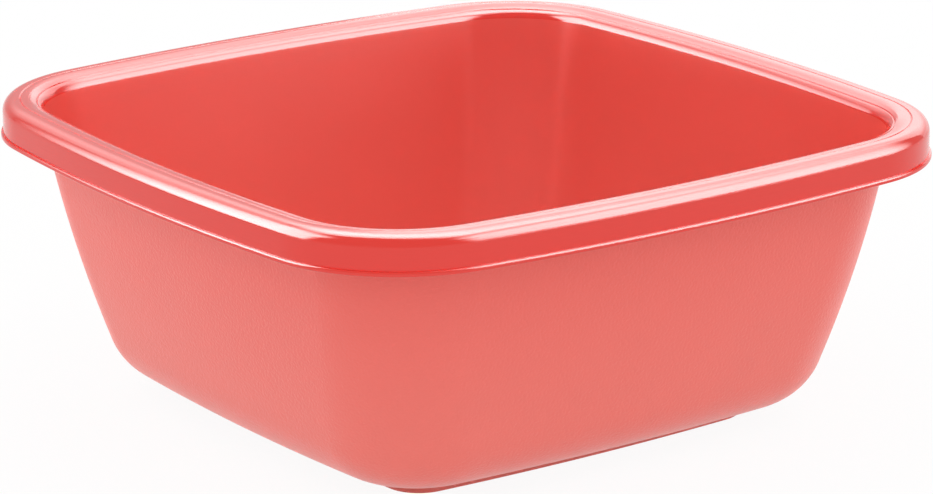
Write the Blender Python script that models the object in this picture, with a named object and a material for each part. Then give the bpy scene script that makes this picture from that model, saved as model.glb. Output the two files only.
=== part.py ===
"""A square washing-up basin, moulded in one piece of polypropylene.

The basin stands on its foot rib at z = 0, with its middle on the z axis and its sides along x and y.
Every level of it is a square whose sides bow out a little and whose corners are round. The bow and the
corners differ from the rim to the base, so the skin is a loft through a closed run of such squares:
up the inside, over the rolled rim, down its skirt, back up under the rim and down the outside.
"""

import math

import bmesh
import bpy

# The basin as a whole, in metres
RIM_WIDTH = 0.380  # across the skirts, halfway along the sides
HEIGHT = 0.1532  # from the foot rib to the crest of the rim
WALL = 0.0020  # thickness of the walls, the floor and the rim

# The outline of the rim, seen from above
RIM_CORNER = 0.073  # radius of the skirt's corners
RIM_BOW = 0.0155  # how far a side stands out beyond a straight line between its far ends

# The walls and the base
WALL_TOP_DROP = 0.0045  # from the crest down to where the walls' draft is counted from
RIM_DRAFT = math.radians(8.0)  # lean of the walls under the rim
BASE_DRAFT = math.radians(16.7)  # lean of the walls where they run into the base fillet
BASE_FILLET = 0.0346  # outer radius between the walls and the base
BASE_CORNER = 0.0533  # radius of the walls' corners at the top of that fillet
BASE_BOW = 0.0080  # bow of the sides there

# The foot rib under the base
FOOT_HEIGHT = 0.0074
FOOT_THICKNESS = 0.0026
FOOT_INSET = 0.0061  # from the end of the base fillet to the rib
FOOT_CORNER = 0.0180  # outer radius of the rib's corners

# The top of the rim, from its inner edge to its shoulder
RIM_REACH = 0.0203  # from the inside of the wall to the outside of the skirt
ROLL_REACH = 0.0026  # from the inside of the wall to the inner groove, over the roll between them
BAND_TILT = math.radians(28.3)  # fall of the band between the grooves at its inner edge; it starts level
OUTER_GROOVE_INSET = 0.0089  # from the outside of the skirt to the middle of the groove
GROOVE_WIDTH = 0.0010
GROOVE_DEPTH = 0.0004
SHOULDER_REACH = 0.0058  # the shoulder is a quarter of an ellipse
SHOULDER_DROP = 0.0060
SHOULDER_HOLLOW = 0.0045  # from the crest down to where the skirt's inside turns in under the shoulder

# The skirt that hangs from the rim, and the fine bead along its lower edge
SKIRT_DEPTH = 0.0186  # from the crest of the rim to the lower edge
BEAD_HEIGHT = 0.0022
BEAD_OUT = 0.0012  # from the skirt to the outside of the bead
NOSE_HEIGHT = 0.0010  # the bevel from the ledge on top of the bead to its outside
NOSE_REACH = 0.0004
BEAD_ROUNDING = 0.0006
UNDER_RADIUS = 0.0025  # fillet under the rim, where the wall runs into it

# How finely the round shapes are cut into flat faces
SIDE_STEPS = 6
CORNER_STEPS = 8
WALL_STEPS = 5
FILLET_STEPS = 6
ROLL_STEPS = 4
BAND_STEPS = 3
SHOULDER_STEPS = 5

PLASTIC_COLOUR = (0.80, 0.085, 0.065, 1.0)
PLASTIC_ROUGHNESS = 0.30
SHARP_ANGLE = math.radians(40)


def side_radius(width, bow):
    """Radius of the arc that stands out by bow over a side of that width."""
    half = width / 2
    return (half * half + bow * bow) / (2 * bow)


def level(half, corner, side, z):
    """One level of the basin: its half width, corner radius, side radius and height."""
    return {"half": half, "corner": corner, "side": side, "z": z}


def moved(at, out, up):
    """The level grown by out all round and raised by up. Its arcs keep their centres."""
    return level(at["half"] + out, at["corner"] + out, at["side"] + out, at["z"] + up)


def outline(at):
    """Points of the level's outline, anticlockwise from the start of the +x side."""
    side_centre = at["half"] - at["side"]
    gap = at["side"] - at["corner"]
    corner_centre = (side_centre + math.sqrt(2 * gap * gap - side_centre * side_centre)) / 2
    reach = math.atan2(corner_centre, corner_centre - side_centre)
    points = []
    for step in range(SIDE_STEPS):
        angle = reach * (2 * step / SIDE_STEPS - 1)
        points.append((side_centre + at["side"] * math.cos(angle), at["side"] * math.sin(angle)))
    for step in range(CORNER_STEPS):
        angle = reach + (math.pi / 2 - 2 * reach) * step / CORNER_STEPS
        points.append(
            (
                corner_centre + at["corner"] * math.cos(angle),
                corner_centre + at["corner"] * math.sin(angle),
            )
        )
    ring = []
    for _ in range(4):
        ring += [(x, y, at["z"]) for x, y in points]
        points = [(-y, x) for x, y in points]
    return ring


def rim_level(inset, drop):
    """A level of the rim, inset from the outside of the skirt and below the crest."""
    side = side_radius(RIM_WIDTH, RIM_BOW)
    return level(RIM_WIDTH / 2 - inset, RIM_CORNER - inset, side - inset, HEIGHT - drop)


def wall_top():
    """Height from which the walls' draft is counted."""
    return HEIGHT - WALL_TOP_DROP


def wall_height():
    """Height of the drafted walls, from there down to the base fillet."""
    return wall_top() - FOOT_HEIGHT - BASE_FILLET * (1 - math.sin(BASE_DRAFT))


def wall_half(share):
    """Half the width across the outside of the walls, from their top at 0 to the base fillet at 1."""
    steepening = (math.tan(BASE_DRAFT) - math.tan(RIM_DRAFT)) * share / 2
    return RIM_WIDTH / 2 - RIM_REACH + WALL - wall_height() * share * (math.tan(RIM_DRAFT) + steepening)


def wall_level(share):
    """(level, lean) of the outside of the wall, from its top at 0 to the base fillet at 1."""
    top = rim_level(RIM_REACH - WALL, 0)
    corner = top["corner"] + (BASE_CORNER - top["corner"]) * share
    curve = (1 - share) / top["side"] + share / side_radius(2 * wall_half(1), BASE_BOW)
    lean = math.atan(math.tan(RIM_DRAFT) + (math.tan(BASE_DRAFT) - math.tan(RIM_DRAFT)) * share)
    return level(wall_half(share), corner, 1 / curve, wall_top() - wall_height() * share), lean


def outer_wall():
    """Levels down the outside of the wall, from under the rim to the base fillet."""
    start = (UNDER_RADIUS + WALL - WALL_TOP_DROP) / wall_height()
    shares = [start + (1 - start) * step / WALL_STEPS for step in range(WALL_STEPS + 1)]
    return [wall_level(share) for share in shares]


def base_fillet():
    """Levels round the outside of the base fillet, without its first."""
    start, lean = wall_level(1)
    levels = []
    for step in range(1, FILLET_STEPS + 1):
        angle = lean + (math.pi / 2 - lean) * step / FILLET_STEPS
        inward = BASE_FILLET * (math.cos(lean) - math.cos(angle))
        down = BASE_FILLET * (math.sin(angle) - math.sin(lean))
        levels.append((moved(start, -inward, -down), angle))
    return levels


def inside_of(levels):
    """The same levels on the inside of the skin, one wall thickness in."""
    return [moved(at, -WALL * math.cos(lean), WALL * math.sin(lean)) for at, lean in levels]


def roll_start():
    """Inset of the edge between the roll and the inner groove."""
    return RIM_REACH - ROLL_REACH


def band_drop(inset):
    """How far below the crest the band between the grooves lies at that inset, on its arc."""
    start = OUTER_GROOVE_INSET + GROOVE_WIDTH / 2
    radius = (roll_start() - start) / math.sin(BAND_TILT)
    across = max(inset - start, 0)
    return radius - math.sqrt(radius * radius - across * across)


def roll_radius():
    """Radius of the roll, which takes the fall of the band over into the lean of the walls."""
    wall, _ = wall_level(0)
    wall_inside = moved(wall, -WALL * math.cos(RIM_DRAFT), WALL * math.sin(RIM_DRAFT))
    to_wall = RIM_WIDTH / 2 - roll_start() - wall_inside["half"]
    above = HEIGHT - band_drop(roll_start()) - wall_inside["z"]
    across = math.cos(RIM_DRAFT) - math.sin(BAND_TILT)
    down = math.cos(BAND_TILT) - math.sin(RIM_DRAFT)
    return (to_wall - above * math.tan(RIM_DRAFT)) / (across - down * math.tan(RIM_DRAFT))


def inner_roll():
    """Levels over the roll, from the inside of the wall almost to the inner groove."""
    radius = roll_radius()
    steepest = math.pi / 2 - RIM_DRAFT
    levels = []
    for step in range(ROLL_STEPS):
        tilt = steepest + (BAND_TILT - steepest) * step / ROLL_STEPS
        inset = roll_start() + radius * (math.sin(tilt) - math.sin(BAND_TILT))
        drop = band_drop(roll_start()) + radius * (math.cos(BAND_TILT) - math.cos(tilt))
        levels.append(rim_level(inset, drop))
    return levels


def inner_skin():
    """Levels up the inside, from the floor to below the roll."""
    top = inner_roll()[0]["z"] - WALL
    down = [at for at in outer_wall() + base_fillet() if at[0]["z"] < top]
    return list(reversed(inside_of(down)))


def groove(inset):
    """Levels of a fine groove in the top of the rim, from its inner edge to its outer one."""
    edges = []
    for across, deeper in ((GROOVE_WIDTH / 2, 0), (0, GROOVE_DEPTH), (-GROOVE_WIDTH / 2, 0)):
        edges.append(rim_level(inset + across, band_drop(inset + across) + deeper))
    return edges


def band_and_grooves():
    """Levels over the band, from the inner groove to the outer one."""
    start = roll_start() - GROOVE_WIDTH
    end = OUTER_GROOVE_INSET + GROOVE_WIDTH / 2
    levels = groove(roll_start() - GROOVE_WIDTH / 2)
    for step in range(1, BAND_STEPS):
        inset = start + (end - start) * step / BAND_STEPS
        levels.append(rim_level(inset, band_drop(inset)))
    return levels + groove(OUTER_GROOVE_INSET)


def shoulder():
    """Levels over the round shoulder, from the crest to the skirt."""
    levels = []
    for step in range(SHOULDER_STEPS + 1):
        angle = math.pi / 2 * step / SHOULDER_STEPS
        inset = SHOULDER_REACH * (1 - math.sin(angle))
        levels.append(rim_level(inset, SHOULDER_DROP * (1 - math.cos(angle))))
    return levels


def skirt_and_bead():
    """Levels down the skirt, round its bead and up its inside to the rim."""
    bead_top = SKIRT_DEPTH - BEAD_HEIGHT
    return [
        rim_level(0, bead_top),
        rim_level(NOSE_REACH - BEAD_OUT, bead_top),
        rim_level(-BEAD_OUT, bead_top + NOSE_HEIGHT),
        rim_level(-BEAD_OUT, SKIRT_DEPTH - BEAD_ROUNDING),
        rim_level(BEAD_ROUNDING - BEAD_OUT, SKIRT_DEPTH),
        rim_level(WALL, SKIRT_DEPTH),
        rim_level(WALL, SHOULDER_HOLLOW),
        rim_level(SHOULDER_REACH, WALL),
    ]


def under_rim():
    """Levels under the rim, from its middle to the wall's outside."""
    wall_inset = RIM_REACH - WALL
    return [
        rim_level(OUTER_GROOVE_INSET, WALL),
        rim_level(wall_inset - UNDER_RADIUS, WALL + band_drop(wall_inset - UNDER_RADIUS)),
    ]


def foot_rib():
    """Levels round the foot rib, from the end of the base fillet to the base inside the rib."""
    edge = moved(base_fillet()[-1][0], -FOOT_INSET, 0)
    outer = level(edge["half"], FOOT_CORNER, edge["side"], edge["z"])
    inner = moved(outer, -FOOT_THICKNESS, 0)
    return [outer, moved(outer, 0, -FOOT_HEIGHT), moved(inner, 0, -FOOT_HEIGHT), inner]


def loft(levels):
    """A closed mesh through the levels, with the first and the last filled flat."""
    mesh = bpy.data.meshes.new("basin")
    built = bmesh.new()
    rings = [[built.verts.new(point) for point in outline(at)] for at in levels]
    for lower, upper in zip(rings, rings[1:]):
        for i in range(len(lower)):
            built.faces.new((lower[i - 1], upper[i - 1], upper[i], lower[i]))
    built.faces.new(rings[0])
    built.faces.new(reversed(rings[-1]))
    bmesh.ops.recalc_face_normals(built, faces=built.faces)
    built.to_mesh(mesh)
    built.free()
    return mesh


def plastic():
    """Glossy polypropylene, coloured through."""
    material = bpy.data.materials.new("red_polypropylene")
    material.use_nodes = True
    shader = material.node_tree.nodes["Principled BSDF"]
    shader.inputs["Base Color"].default_value = PLASTIC_COLOUR
    shader.inputs["Roughness"].default_value = PLASTIC_ROUGHNESS
    shader.inputs["Metallic"].default_value = 0
    return material


def make_basin(collection):
    """The basin, as one moulding."""
    levels = inner_skin()
    levels += inner_roll()
    levels += band_and_grooves()
    levels += shoulder()
    levels += skirt_and_bead()
    levels += under_rim()
    levels += [at for at, _ in outer_wall() + base_fillet()]
    levels += foot_rib()
    mesh = loft(levels)
    mesh.materials.append(plastic())
    mesh.shade_smooth()
    mesh.set_sharp_from_angle(angle=SHARP_ANGLE)
    collection.objects.link(bpy.data.objects.new("basin", mesh))


for leftover in list(bpy.data.objects):
    bpy.data.objects.remove(leftover, do_unlink=True)
parts = bpy.data.collections.new("square_basin")
bpy.context.scene.collection.children.link(parts)
make_basin(parts)
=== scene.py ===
import math

import bpy
from mathutils import Matrix, Vector


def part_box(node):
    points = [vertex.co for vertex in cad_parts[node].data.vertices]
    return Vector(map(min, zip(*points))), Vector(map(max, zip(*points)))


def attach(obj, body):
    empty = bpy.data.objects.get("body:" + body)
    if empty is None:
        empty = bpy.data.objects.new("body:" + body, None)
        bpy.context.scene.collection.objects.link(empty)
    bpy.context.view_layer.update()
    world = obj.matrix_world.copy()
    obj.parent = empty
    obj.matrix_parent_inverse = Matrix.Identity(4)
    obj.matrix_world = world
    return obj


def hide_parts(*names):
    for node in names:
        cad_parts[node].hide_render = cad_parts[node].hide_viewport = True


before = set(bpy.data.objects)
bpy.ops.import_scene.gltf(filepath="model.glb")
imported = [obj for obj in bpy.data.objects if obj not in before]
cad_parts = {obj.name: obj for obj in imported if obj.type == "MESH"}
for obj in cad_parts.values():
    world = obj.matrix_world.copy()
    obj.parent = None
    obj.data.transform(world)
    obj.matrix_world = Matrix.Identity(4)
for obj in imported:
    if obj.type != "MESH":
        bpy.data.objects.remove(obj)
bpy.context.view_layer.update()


# The basin is one shot of red polypropylene, injection moulded at the middle of its base, with a skin 2 mm
# thick and sides that bow out between round corners. It is drawn in metres and level by level: up the
# inside, over the rolled rim, down the skirt, back up under the rim, down the outside and round the foot.
low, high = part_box("basin")
WALL = 0.0020
BEAD_OUT = 0.0012
RIM_HALF = high.x - BEAD_OUT
CREST = high.z
SIDE_STEPS = 36
CORNER_STEPS = 32
ROUND_STEPS = 10


def bow_radius(half, bow):
    """Radius of the arc that stands out by bow over a side of that half width."""
    return (half * half + bow * bow) / (2 * bow)


def level(half, corner, side, z):
    """One level of the skin: its half width, corner radius, side radius and height."""
    return {"half": half, "corner": corner, "side": side, "z": z}


def moved(at, out, up):
    """The level grown by out all round and raised by up."""
    return level(at["half"] + out, at["corner"] + out, at["side"] + out, at["z"] + up)


def outline(at):
    """Points round the level, anticlockwise from the start of the +X side."""
    side_centre = at["half"] - at["side"]
    gap = at["side"] - at["corner"]
    corner_centre = (side_centre + math.sqrt(2 * gap * gap - side_centre * side_centre)) / 2
    reach = math.atan2(corner_centre, corner_centre - side_centre)
    quarter = []
    for step in range(SIDE_STEPS):
        angle = reach * (2 * step / SIDE_STEPS - 1)
        quarter.append((side_centre + at["side"] * math.cos(angle), at["side"] * math.sin(angle)))
    for step in range(CORNER_STEPS):
        angle = reach + (math.pi / 2 - 2 * reach) * step / CORNER_STEPS
        x = corner_centre + at["corner"] * math.cos(angle)
        quarter.append((x, corner_centre + at["corner"] * math.sin(angle)))
    points = []
    for _ in range(4):
        points += [(x, y, at["z"]) for x, y in quarter]
        quarter = [(-y, x) for x, y in quarter]
    return points


def turn(angle):
    """Angles from 0 to that one, in even steps."""
    return [angle * step / ROUND_STEPS for step in range(ROUND_STEPS + 1)]


# The rim turns out from the wall over a skirt, which stiffens the basin and gives a grip. Its sizes are
# insets from the outside of the skirt and drops below the crest. The band between its two fine grooves
# falls towards the basin in an arc, and the shoulder is a quarter of an ellipse.
RIM_CORNER = 0.073
RIM_BOW = 0.0155
RIM_REACH = 0.0203
ROLL_REACH = 0.0026
BAND_TILT = math.radians(28.3)
OUTER_GROOVE = 0.0089
GROOVE_WIDTH = 0.0010
GROOVE_DEPTH = 0.0004
INNER_GROOVE = RIM_REACH - ROLL_REACH - GROOVE_WIDTH / 2
SHOULDER_REACH = 0.0058
SHOULDER_DROP = 0.0060
SHOULDER_HOLLOW = 0.0045
SKIRT_DEPTH = 0.0186
BEAD_HEIGHT = 0.0022
NOSE_HEIGHT = 0.0010
NOSE_REACH = 0.0004
BEAD_ROUNDING = 0.0006
UNDER_RADIUS = 0.0025
WALL_TOP_DROP = 0.0045
RIM_DRAFT = math.radians(8.0)
band_start = OUTER_GROOVE + GROOVE_WIDTH / 2
band_end = INNER_GROOVE - GROOVE_WIDTH / 2
roll_start = RIM_REACH - ROLL_REACH
band_radius = (roll_start - band_start) / math.sin(BAND_TILT)


def rim(inset, drop):
    """The level of the rim at that inset and drop."""
    side = bow_radius(RIM_HALF, RIM_BOW)
    return level(RIM_HALF - inset, RIM_CORNER - inset, side - inset, CREST - drop)


def band_drop(inset):
    """How far below the crest the band lies at that inset."""
    return band_radius * (1 - math.cos(math.asin(max(inset - band_start, 0) / band_radius)))


# The roll takes over from the band's arc and runs into the inside of the wall at the wall's own lean.
wall_reach = ROLL_REACH - WALL * (1 - math.cos(RIM_DRAFT))
wall_reach += (band_drop(roll_start) - WALL_TOP_DROP + WALL * math.sin(RIM_DRAFT)) * math.tan(RIM_DRAFT)
roll_width = math.cos(RIM_DRAFT) - math.sin(BAND_TILT)
roll_depth = math.cos(BAND_TILT) - math.sin(RIM_DRAFT)
roll_radius = wall_reach / (roll_width - roll_depth * math.tan(RIM_DRAFT))


def roll():
    """Levels up the roll, from the inside of the wall to just short of the inner groove."""
    levels = []
    for angle in reversed(turn(math.pi / 2 - RIM_DRAFT - BAND_TILT)[1:]):
        inward = roll_radius * (math.sin(BAND_TILT + angle) - math.sin(BAND_TILT))
        down = roll_radius * (math.cos(BAND_TILT) - math.cos(BAND_TILT + angle))
        levels.append(rim(roll_start + inward, band_drop(roll_start) + down))
    return levels


def groove(middle):
    """Levels over a fine round groove, from its inner edge to its outer one."""
    levels = []
    for angle in turn(2 * math.pi):
        inset = middle + GROOVE_WIDTH * (0.5 - angle / (2 * math.pi))
        levels.append(rim(inset, band_drop(inset) + GROOVE_DEPTH * (1 - math.cos(angle)) / 2))
    return levels


def band():
    """Levels over the band, between the edges of the two grooves."""
    insets = [band_end + (band_start - band_end) * step / ROUND_STEPS for step in range(1, ROUND_STEPS)]
    return [rim(inset, band_drop(inset)) for inset in insets]


def shoulder():
    """Levels over the shoulder, from the crest to the top of the skirt."""
    levels = []
    for angle in turn(math.pi / 2):
        levels.append(rim(SHOULDER_REACH * (1 - math.sin(angle)), SHOULDER_DROP * (1 - math.cos(angle))))
    return levels


def skirt_and_bead():
    """Levels down the skirt, out over the small ledge on its bead and round the bead's lower edge."""
    bead_top = SKIRT_DEPTH - BEAD_HEIGHT
    nose_edge = 2 * math.atan(NOSE_REACH / NOSE_HEIGHT)
    nose_radius = NOSE_HEIGHT / math.sin(nose_edge)
    levels = [rim(0, bead_top)]
    for angle in reversed(turn(nose_edge)):
        inset = nose_radius * (1 - math.cos(angle)) - BEAD_OUT
        levels.append(rim(inset, bead_top + NOSE_HEIGHT - nose_radius * math.sin(angle)))
    for angle in turn(math.pi):
        inset = BEAD_ROUNDING * (1 - math.cos(angle)) - BEAD_OUT
        levels.append(rim(inset, SKIRT_DEPTH - BEAD_ROUNDING * (1 - math.sin(angle))))
    return levels


def under_rim():
    """Levels up the inside of the skirt and in under the rim, to the fillet over the wall."""
    fillet = RIM_REACH - WALL - UNDER_RADIUS
    levels = [rim(WALL, SKIRT_DEPTH - BEAD_ROUNDING)]
    for angle in turn(math.pi / 2):
        inset = SHOULDER_REACH - (SHOULDER_REACH - WALL) * math.cos(angle)
        levels.append(rim(inset, SHOULDER_HOLLOW - (SHOULDER_HOLLOW - WALL) * math.sin(angle)))
    return levels + [rim(OUTER_GROOVE, WALL), rim(fillet, WALL + band_drop(fillet))]


HOLD = 0.0003
WIDE_FLAT = 0.0012


def held(levels):
    """The levels, with one more near each end of a wide flat to keep its gloss flat up to the bend."""
    full = levels[:1]
    for at, after in zip(levels, levels[1:]):
        width = math.dist((at["half"], at["z"]), (after["half"], after["z"]))
        if width > WIDE_FLAT:
            for share in (HOLD / width, 1 - HOLD / width):
                full.append({size: at[size] + (after[size] - at[size]) * share for size in at})
        full.append(after)
    return full


over_levels = roll() + groove(INNER_GROOVE) + band() + groove(OUTER_GROOVE) + shoulder() + skirt_and_bead()
over_levels = held(over_levels)
under_levels = held(under_rim())

# The wall leans in towards the base and leans more as it goes down, so that it draws off its core. It runs
# into the floor in a wide fillet, and the inside follows the outside one skin's thickness in.
BASE_DRAFT = math.radians(16.7)
BASE_FILLET = 0.0346
BASE_CORNER = 0.0533
BASE_BOW = 0.0080
FOOT_HEIGHT = 0.0074
WALL_STEPS = 24
FILLET_STEPS = 16
wall_top = CREST - WALL_TOP_DROP
wall_height = wall_top - FOOT_HEIGHT - BASE_FILLET * (1 - math.sin(BASE_DRAFT))
rim_lean, base_lean = math.tan(RIM_DRAFT), math.tan(BASE_DRAFT)


def wall_half(share):
    """Half the width over the outside of the walls, from their top at 0 to the fillet at 1."""
    narrowing = wall_height * share * (rim_lean + (base_lean - rim_lean) * share / 2)
    return RIM_HALF - RIM_REACH + WALL - narrowing


def wall(share):
    """(level, lean) of the outside of the wall, from its top at 0 to the fillet at 1."""
    top = rim(RIM_REACH - WALL, 0)
    corner = top["corner"] + (BASE_CORNER - top["corner"]) * share
    curve = (1 - share) / top["side"] + share / bow_radius(wall_half(1), BASE_BOW)
    lean = math.atan(rim_lean + (base_lean - rim_lean) * share)
    return level(wall_half(share), corner, 1 / curve, wall_top - wall_height * share), lean


def wall_and_fillet():
    """(level, lean) down the outside of the wall and round the base fillet."""
    first = (UNDER_RADIUS + WALL - WALL_TOP_DROP) / wall_height
    levels = [wall(first + (1 - first) * step / WALL_STEPS) for step in range(WALL_STEPS + 1)]
    fillet_top, lean = wall(1)
    for step in range(1, FILLET_STEPS + 1):
        angle = lean + (math.pi / 2 - lean) * step / FILLET_STEPS
        inward = BASE_FILLET * (math.cos(lean) - math.cos(angle))
        down = BASE_FILLET * (math.sin(angle) - math.sin(lean))
        levels.append((moved(fillet_top, -inward, -down), angle))
    return levels


outside = wall_and_fillet()
inside = [moved(at, -WALL * math.cos(lean), WALL * math.sin(lean)) for at, lean in reversed(outside)]
inside = [at for at in inside if at["z"] < over_levels[0]["z"] - WALL]
outside = [at for at, _ in outside]

# The foot rib holds the base clear of a wet worktop. Its edges are broken, as the mould leaves them. The
# small round gate in the middle of the base is where the plastic came in, as (radius, rise) of its rings.
FOOT_THICKNESS = 0.0026
FOOT_INSET = 0.0061
FOOT_CORNER = 0.0180
FOOT_EDGE = 0.0005
FOOT_ROOT = 0.0008
GATE = [
    (0.0110, 0.0),
    (0.0102, 0.0004),
    (0.0040, 0.0005),
    (0.0026, 0.0004),
    (0.0022, -0.0004),
    (0.0016, -0.0006),
]


def foot_rib():
    """Levels down the outside of the rib, over its foot and up its inside."""
    half_rib = []
    for angle in turn(math.pi / 2):
        half_rib.append((FOOT_ROOT * (1 - math.sin(angle)), FOOT_HEIGHT - FOOT_ROOT * (1 - math.cos(angle))))
    for angle in turn(math.pi / 2):
        half_rib.append((FOOT_EDGE * (math.cos(angle) - 1), FOOT_EDGE * (1 - math.sin(angle))))
    edge = moved(outside[-1], -FOOT_INSET, 0)
    middle = moved(level(edge["half"], FOOT_CORNER, edge["side"], low.z), -FOOT_THICKNESS / 2, 0)
    levels = [moved(middle, FOOT_THICKNESS / 2 + out, up) for out, up in half_rib]
    return levels + [moved(middle, -FOOT_THICKNESS / 2 - out, up) for out, up in reversed(half_rib)]


foot = foot_rib()


def shrunk(at, share):
    """The level's outline, drawn in towards the middle of the basin."""
    return [(x * share, y * share, z) for x, y, z in outline(at)]


def gate_ring(radius, rise):
    """A ring of the gate, which meets the outlines point by point."""
    angles = [math.atan2(y, x) for x, y, _ in outline(foot[-1])]
    return [(radius * math.cos(angle), radius * math.sin(angle), FOOT_HEIGHT + rise) for angle in angles]


# The levels are joined into one closed skin. Each ring carries the finish that the mould gives that part of
# it, and its distance along the skin, which the fine marks round the rim follow.
FLOOR_SHARES = (0.02, 0.25, 0.5, 0.75, 0.95)
BASE_SHARES = (0.95, 0.7, 0.4)
SHARP_ANGLE = math.radians(40)
INSIDE, RIM, OUTSIDE = range(3)
rings = [(shrunk(inside[0], share), INSIDE) for share in FLOOR_SHARES]
rings += [(outline(at), INSIDE) for at in inside + over_levels[:1]]
rings += [(outline(at), RIM) for at in over_levels[1:]]
rings += [(outline(at), OUTSIDE) for at in under_levels + outside + held(foot)]
rings += [(shrunk(foot[-1], share), OUTSIDE) for share in BASE_SHARES]
rings += [(gate_ring(radius, rise), OUTSIDE) for radius, rise in GATE]
around = len(rings[0][0])
skin_points = [point for ring, _ in rings for point in ring]
faces, finishes = [], []
for number, (_, finish) in list(enumerate(rings))[1:]:
    upper, lower = (number - 1) * around, number * around
    for i in range(around):
        before = (i - 1) % around
        faces.append((lower + before, lower + i, upper + i, upper + before))
        finishes.append(finish)
last = len(skin_points) - around
skin_points += [(0, 0, inside[0]["z"]), (0, 0, skin_points[last][2])]
floor_middle, gate_middle = len(skin_points) - 2, len(skin_points) - 1
for i in range(around):
    before = (i - 1) % around
    faces += [(floor_middle, before, i), (gate_middle, last + i, last + before)]
    finishes += [INSIDE, OUTSIDE]
moulding = bpy.data.meshes.new("basin_moulding")
moulding.from_pydata(skin_points, [], faces)
moulding.polygons.foreach_set("material_index", finishes)
distances = [0]
for (ring, _), (next_ring, _) in zip(rings, rings[1:]):
    distances.append(distances[-1] + math.dist(ring[0], next_ring[0]))
along_skin = moulding.attributes.new("along_skin", "FLOAT", "POINT")
for number, vertex in enumerate(along_skin.data):
    vertex.value = distances[min(number // around, len(rings) - 1)]
moulding.shade_smooth()
moulding.set_sharp_from_angle(angle=SHARP_ANGLE)
basin = bpy.data.objects.new("basin_moulding", moulding)
bpy.context.scene.collection.objects.link(basin)


# The plastic is coloured through. What the mould left on it differs: a polished rim with very fine
# marks along it, a duller inside and finely grained walls. The reds of the finishes are lit and shaded
# copies,
# as painted light: the inside's is paler in green and blue, the walls' a brighter red. The dull finishes
# also carry a painted sheen of pale pink, most of all towards the base.
POLYPROPYLENE_IOR = 1.49
# Pale pink of the painted sheen.
PAINTED_SHEEN_PINK = (0.93, 0.58, 0.48, 1)
UNEVENNESS = 0.02
USUAL_CLOUD_SHARES = (0.3, 0.7)
MARK_SPACING = 0.0012


def polypropylene(name, reds, painted_sheen_shares, roughness, specular, grain, grain_depth, mark_depth):
    """Red polypropylene from a mould of that polish and grain. Its painted sheen grows from the rim to the
    base.
    """
    material = bpy.data.materials.new(name)
    material.use_nodes = True
    nodes, links = material.node_tree.nodes, material.node_tree.links
    shader = nodes["Principled BSDF"]
    shader.inputs["IOR"].default_value = POLYPROPYLENE_IOR
    shader.inputs["Specular IOR Level"].default_value = specular
    place = nodes.new("ShaderNodeTexCoord").outputs["Object"]

    def clouds(scale, detail):
        """Soft clouds through the plastic, that many to a metre."""
        noise = nodes.new("ShaderNodeTexNoise")
        noise.inputs["Scale"].default_value = scale
        noise.inputs["Detail"].default_value = detail
        links.new(place, noise.inputs["Vector"])
        return noise.outputs["Fac"]

    shade = nodes.new("ShaderNodeMix")
    shade.data_type = "RGBA"
    shade.inputs["A"].default_value, shade.inputs["B"].default_value = reds
    links.new(clouds(scale=14, detail=3), shade.inputs["Factor"])
    height = nodes.new("ShaderNodeSeparateXYZ")
    sheen_by_height = nodes.new("ShaderNodeMapRange")
    sheen_by_height.inputs["From Min"].default_value = CREST - SKIRT_DEPTH
    sheen_by_height.inputs["From Max"].default_value = FOOT_HEIGHT
    sheen_by_height.inputs["To Min"].default_value, sheen_by_height.inputs["To Max"].default_value = painted_sheen_shares
    # Painted sheen: pale pink mixed into the red, the more the lower the surface lies.
    painted_sheen = nodes.new("ShaderNodeMix")
    painted_sheen.data_type = "RGBA"
    painted_sheen.inputs["B"].default_value = PAINTED_SHEEN_PINK
    links.new(place, height.inputs[0])
    links.new(height.outputs["Z"], sheen_by_height.inputs["Value"])
    links.new(sheen_by_height.outputs["Result"], painted_sheen.inputs["Factor"])
    links.new(shade.outputs["Result"], painted_sheen.inputs["A"])
    links.new(painted_sheen.outputs["Result"], shader.inputs["Base Color"])

    gloss = nodes.new("ShaderNodeMapRange")
    gloss.inputs["From Min"].default_value, gloss.inputs["From Max"].default_value = USUAL_CLOUD_SHARES
    gloss.inputs["To Min"].default_value = roughness - UNEVENNESS
    gloss.inputs["To Max"].default_value = roughness + UNEVENNESS
    links.new(clouds(scale=30, detail=5), gloss.inputs["Value"])
    links.new(gloss.outputs["Result"], shader.inputs["Roughness"])

    grained = nodes.new("ShaderNodeBump")
    grained.inputs["Distance"].default_value = grain_depth
    links.new(clouds(scale=1 / grain, detail=2), grained.inputs["Height"])
    surface = grained.outputs["Normal"]
    if mark_depth:
        running = nodes.new("ShaderNodeAttribute")
        running.attribute_name = "along_skin"
        marks = nodes.new("ShaderNodeTexNoise")
        marks.noise_dimensions = "1D"
        marks.inputs["Scale"].default_value = 1 / MARK_SPACING
        marks.inputs["Detail"].default_value = 3
        marked = nodes.new("ShaderNodeBump")
        marked.inputs["Distance"].default_value = mark_depth
        links.new(running.outputs["Fac"], marks.inputs["W"])
        links.new(marks.outputs["Fac"], marked.inputs["Height"])
        links.new(surface, marked.inputs["Normal"])
        surface = marked.outputs["Normal"]
    links.new(surface, shader.inputs["Normal"])
    return material


# The inside's red is paler in green and blue than the rim's: a shaded copy, as painted light.
moulding.materials.append(polypropylene(
    "red_polypropylene_inside",
    reds=((0.70, 0.083, 0.065, 1), (0.73, 0.092, 0.073, 1)),
    painted_sheen_shares=(0.02, 0.14),
    roughness=0.24,
    specular=0.15,
    grain=0.0020,
    grain_depth=0.000030,
    mark_depth=0,
))
moulding.materials.append(polypropylene(
    "red_polypropylene_polished",
    reds=((0.71, 0.038, 0.027, 1), (0.74, 0.042, 0.030, 1)),
    painted_sheen_shares=(0.0, 0.0),
    roughness=0.10,
    specular=0.5,
    grain=0.0040,
    grain_depth=0.000006,
    mark_depth=0.000050,
))
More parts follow.
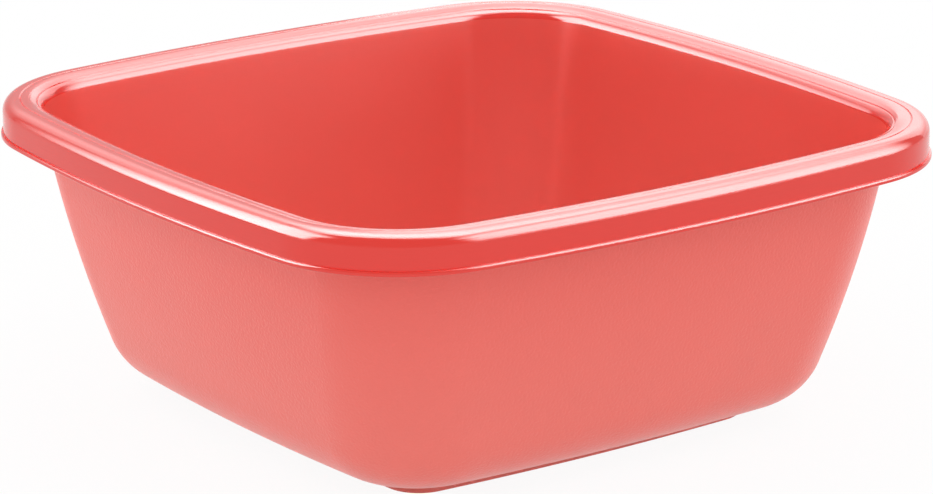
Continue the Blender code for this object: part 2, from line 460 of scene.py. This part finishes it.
# The walls' red is brighter than the rim's: a lit copy, as painted light.
moulding.materials.append(polypropylene(
    "red_polypropylene_satin",
    reds=((0.76, 0.039, 0.028, 1), (0.79, 0.043, 0.031, 1)),
    painted_sheen_shares=(0.14, 0.27),
    roughness=0.34,
    specular=0.5,
    grain=0.0014,
    grain_depth=0.000350,
    mark_depth=0,
))
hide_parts("basin")
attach(basin, "root")


# The camera stands where the one that took the photograph stood, with its long lens: 2 m off, to the front
# right, looking down a little onto one corner.
CAMERA_PLACE = (1.6167, -1.1391, 0.6701)
CAMERA_AZIMUTH = math.radians(54.7586)
CAMERA_ELEVATION = math.radians(16.6138)
CAMERA_ROLL = math.radians(-0.4704)
camera = bpy.data.cameras.new("camera")
camera.sensor_width = 36
camera.lens = 160
across = Vector((math.cos(CAMERA_AZIMUTH), math.sin(CAMERA_AZIMUTH), 0))
back = Vector((
    math.sin(CAMERA_AZIMUTH) * math.cos(CAMERA_ELEVATION),
    -math.cos(CAMERA_AZIMUTH) * math.cos(CAMERA_ELEVATION),
    math.sin(CAMERA_ELEVATION),
))
upright = back.cross(across)
right = across * math.cos(CAMERA_ROLL) + upright * math.sin(CAMERA_ROLL)
up = upright * math.cos(CAMERA_ROLL) - across * math.sin(CAMERA_ROLL)
tripod = bpy.data.objects.new("camera", camera)
tripod.matrix_world = Matrix.Translation(CAMERA_PLACE) @ Matrix((right, up, back)).transposed().to_4x4()
bpy.context.scene.collection.objects.link(tripod)
bpy.context.scene.camera = tripod
bpy.context.scene.view_settings.view_transform = "Standard"


# The basin stands on matt white paper, which the camera and the gloss see as plain white. The paper still
# takes a soft shadow. It lies a hair below the foot rib, so that the two never share a plane.
FLOOR_RADIUS = 5
FLOOR_SIDES = 96
FLOOR_GAP = 0.0001
WHITE = (1, 1, 1, 1)
PAPER_WHITE = (0.92, 0.92, 0.92, 1)
SEEN_WHITE_SHARE = 0.93


def white_paper():
    """Matt paper that looks plain white to the camera, to gloss and through glass, but for a soft shadow."""
    paper = bpy.data.materials.new("white_paper")
    paper.use_nodes = True
    paper.cycles.emission_sampling = "NONE"
    nodes, links = paper.node_tree.nodes, paper.node_tree.links
    nodes.clear()
    output = nodes.new("ShaderNodeOutputMaterial")
    matt = nodes.new("ShaderNodeBsdfDiffuse")
    matt.inputs["Color"].default_value = PAPER_WHITE
    white = nodes.new("ShaderNodeEmission")
    white.inputs["Color"].default_value = WHITE
    path = nodes.new("ShaderNodeLightPath")
    seen = path.outputs["Is Camera Ray"]
    for ray in ("Is Glossy Ray", "Is Transmission Ray"):
        either = nodes.new("ShaderNodeMath")
        either.operation = "MAXIMUM"
        links.new(seen, either.inputs[0])
        links.new(path.outputs[ray], either.inputs[1])
        seen = either.outputs[0]
    whitened = nodes.new("ShaderNodeMath")
    whitened.operation = "MULTIPLY"
    whitened.inputs[1].default_value = SEEN_WHITE_SHARE
    links.new(seen, whitened.inputs[0])
    mix = nodes.new("ShaderNodeMixShader")
    links.new(whitened.outputs[0], mix.inputs[0])
    links.new(matt.outputs[0], mix.inputs[1])
    links.new(white.outputs[0], mix.inputs[2])
    links.new(mix.outputs[0], output.inputs["Surface"])
    return paper


floor_edge = []
for side in range(FLOOR_SIDES):
    angle = 2 * math.pi * side / FLOOR_SIDES
    floor_edge.append((FLOOR_RADIUS * math.cos(angle), FLOOR_RADIUS * math.sin(angle), low.z - FLOOR_GAP))
floor_mesh = bpy.data.meshes.new("floor")
floor_mesh.from_pydata(floor_edge, [], [tuple(range(FLOOR_SIDES))])
floor_mesh.materials.append(white_paper())
floor = bpy.data.objects.new("floor", floor_mesh)
bpy.context.scene.collection.objects.link(floor)


# The studio is a plain white tent, which gives the even light. The gloss sees a dimmer room, with large
# softboxes to the left and right of the camera, one overhead and a pale sweep behind. These add no light to
# the colour, because only the gloss sees them.
TENT = 1.08
ROOM = 0.45
RIM_MIDDLE = Vector((0, 0, CREST))


def tent(name):
    """A world that lights evenly, and is dimmer to the gloss."""
    world = bpy.data.worlds.new(name)
    world.use_nodes = True
    nodes, links = world.node_tree.nodes, world.node_tree.links
    cloth = nodes["Background"]
    cloth.inputs["Color"].default_value = WHITE
    path = nodes.new("ShaderNodeLightPath")
    dimmed = nodes.new("ShaderNodeMath")
    dimmed.operation = "MULTIPLY_ADD"
    dimmed.inputs[1].default_value = ROOM - TENT
    dimmed.inputs[2].default_value = TENT
    links.new(path.outputs["Is Glossy Ray"], dimmed.inputs[0])
    links.new(dimmed.outputs[0], cloth.inputs["Strength"])
    return world


def glowing(name, mesh, glow, cover_of):
    """Adds an object that only the gloss sees. cover_of works out how much of it is there."""
    material = bpy.data.materials.new(name)
    material.use_nodes = True
    material.cycles.emission_sampling = "NONE"
    nodes, links = material.node_tree.nodes, material.node_tree.links
    nodes.clear()
    output = nodes.new("ShaderNodeOutputMaterial")
    lamp = nodes.new("ShaderNodeEmission")
    lamp.inputs["Strength"].default_value = glow
    clear = nodes.new("ShaderNodeBsdfTransparent")
    cover = nodes.new("ShaderNodeMixShader")
    place = nodes.new("ShaderNodeTexCoord")
    split = nodes.new("ShaderNodeSeparateXYZ")
    links.new(place.outputs["Object"], split.inputs[0])
    links.new(cover_of(nodes, links, split), cover.inputs[0])
    links.new(clear.outputs[0], cover.inputs[1])
    links.new(lamp.outputs[0], cover.inputs[2])
    links.new(cover.outputs[0], output.inputs["Surface"])
    mesh.materials.append(material)
    lit = bpy.data.objects.new(name, mesh)
    lit.visible_camera = False
    lit.visible_diffuse = False
    lit.visible_shadow = False
    bpy.context.scene.collection.objects.link(lit)
    return lit


def ramp(nodes, links, socket, ends, values):
    """The socket's value taken smoothly from the first of two values to the second between two ends."""
    step = nodes.new("ShaderNodeMapRange")
    step.interpolation_type = "SMOOTHSTEP"
    step.inputs["From Min"].default_value, step.inputs["From Max"].default_value = ends
    step.inputs["To Min"].default_value, step.inputs["To Max"].default_value = values
    links.new(socket, step.inputs["Value"])
    return step.outputs["Result"]


def softbox(name, azimuth, elevation, distance, half_size, glow, fades):
    """A softbox facing the rim from there, in degrees. Its left, right, bottom and top edges fade."""
    def cover(nodes, links, split):
        left, right, bottom, top = fades
        sides = (
            ramp(nodes, links, split.outputs["X"], (-1, left - 1), (0, 1)),
            ramp(nodes, links, split.outputs["X"], (1 - right, 1), (1, 0)),
            ramp(nodes, links, split.outputs["Y"], (-1, bottom - 1), (0, 1)),
            ramp(nodes, links, split.outputs["Y"], (1 - top, 1), (1, 0)),
        )
        full = sides[0]
        for side in sides[1:]:
            times = nodes.new("ShaderNodeMath")
            times.operation = "MULTIPLY"
            links.new(full, times.inputs[0])
            links.new(side, times.inputs[1])
            full = times.outputs[0]
        return full

    front = bpy.data.meshes.new(name)
    front.from_pydata([(-1, -1, 0), (1, -1, 0), (1, 1, 0), (-1, 1, 0)], [], [(0, 1, 2, 3)])
    lit = glowing(name, front, glow, cover)
    azimuth, elevation = math.radians(azimuth), math.radians(elevation)
    away = Vector((
        math.cos(azimuth) * math.cos(elevation),
        math.sin(azimuth) * math.cos(elevation),
        math.sin(elevation),
    ))
    along = Vector((-math.sin(azimuth), math.cos(azimuth), 0))
    turned = Matrix((along, away.cross(along), away)).transposed().to_4x4()
    scaled = Matrix.Diagonal((*half_size, 1, 1))
    lit.matrix_world = Matrix.Translation(RIM_MIDDLE + away * distance) @ turned @ scaled


bpy.context.scene.world = tent("studio")
softbox(
    "softbox_left",
    azimuth=231,
    elevation=24,
    distance=3.0,
    half_size=(1.80, 1.90),
    glow=17,
    fades=(0.90, 0.30, 0.40, 0.60),
)
softbox(
    "softbox_right",
    azimuth=45,
    elevation=23,
    distance=3.0,
    half_size=(2.25, 1.95),
    glow=16,
    fades=(0.55, 1.05, 0.59, 0.60),
)
softbox(
    "softbox_overhead",
    azimuth=125,
    elevation=74,
    distance=2.85,
    half_size=(2.74, 2.50),
    glow=19,
    fades=(0.45, 0.60, 1.30, 0.75),
)

# The sweep stands upright behind the basin in two parts, of which the left one fades in higher up.
SWEEP_RADIUS = 3.4
SWEEP_HEIGHT = 3.6
SWEEP_GLOW = 3.3
SWEEP_STEPS = 24


def sweep(name, first, last, low_edge, high_edge, low_cover):
    """A part of the sweep between two directions, in degrees, whose brightness grows between two heights."""
    def cover(nodes, links, split):
        return ramp(nodes, links, split.outputs["Z"], (low_edge, high_edge), (low_cover, 1))

    points = []
    for step in range(SWEEP_STEPS + 1):
        angle = math.radians(first + (last - first) * step / SWEEP_STEPS)
        for z in (0, SWEEP_HEIGHT):
            points.append((SWEEP_RADIUS * math.cos(angle), SWEEP_RADIUS * math.sin(angle), low.z + z))
    cloth = bpy.data.meshes.new(name)
    cloth.from_pydata(points, [], [(2 * i, 2 * i + 2, 2 * i + 3, 2 * i + 1) for i in range(SWEEP_STEPS)])
    glowing(name, cloth, SWEEP_GLOW, cover)


sweep("sweep_right", first=98, last=147, low_edge=0.4, high_edge=1.5, low_cover=0.30)
sweep("sweep_left", first=147, last=198, low_edge=0.8, high_edge=2.6, low_cover=0.10)
